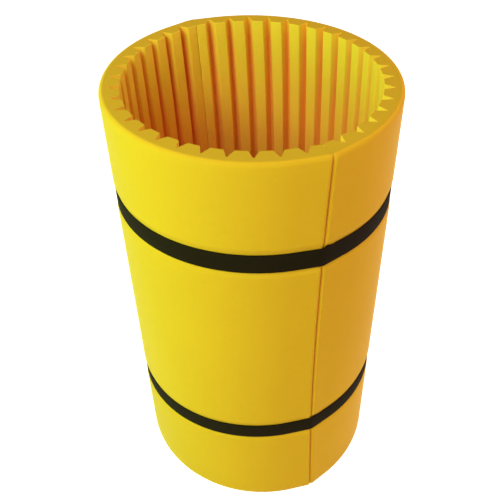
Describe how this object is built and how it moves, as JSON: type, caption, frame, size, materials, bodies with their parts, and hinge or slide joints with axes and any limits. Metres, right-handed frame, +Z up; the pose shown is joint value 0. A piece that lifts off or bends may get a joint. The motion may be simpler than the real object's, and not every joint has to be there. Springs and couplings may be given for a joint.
{
  "type": "column protector",
  "caption": "Yellow foam sleeve of two half shells with V-grooved ribs inside, held round a building column by black hook-and-loop straps.",
  "frame": {"origin": "on the floor at the middle of the sleeve's underside", "axes": "+Z up along the sleeve; the two seams face -Y and +Y, and the half shells bulge towards -X and +X"},
  "size_m": [0.6144, 0.656, 1.067],
  "materials": {
    "foam": "satin closed-cell foam skin",
    "strap": "matte woven"
  },
  "bodies": {
    "root": {"left_half_shell": "foam", "right_half_shell": "foam", "lower_strap": "strap", "upper_strap": "strap"}
  },
  "joints": []
}
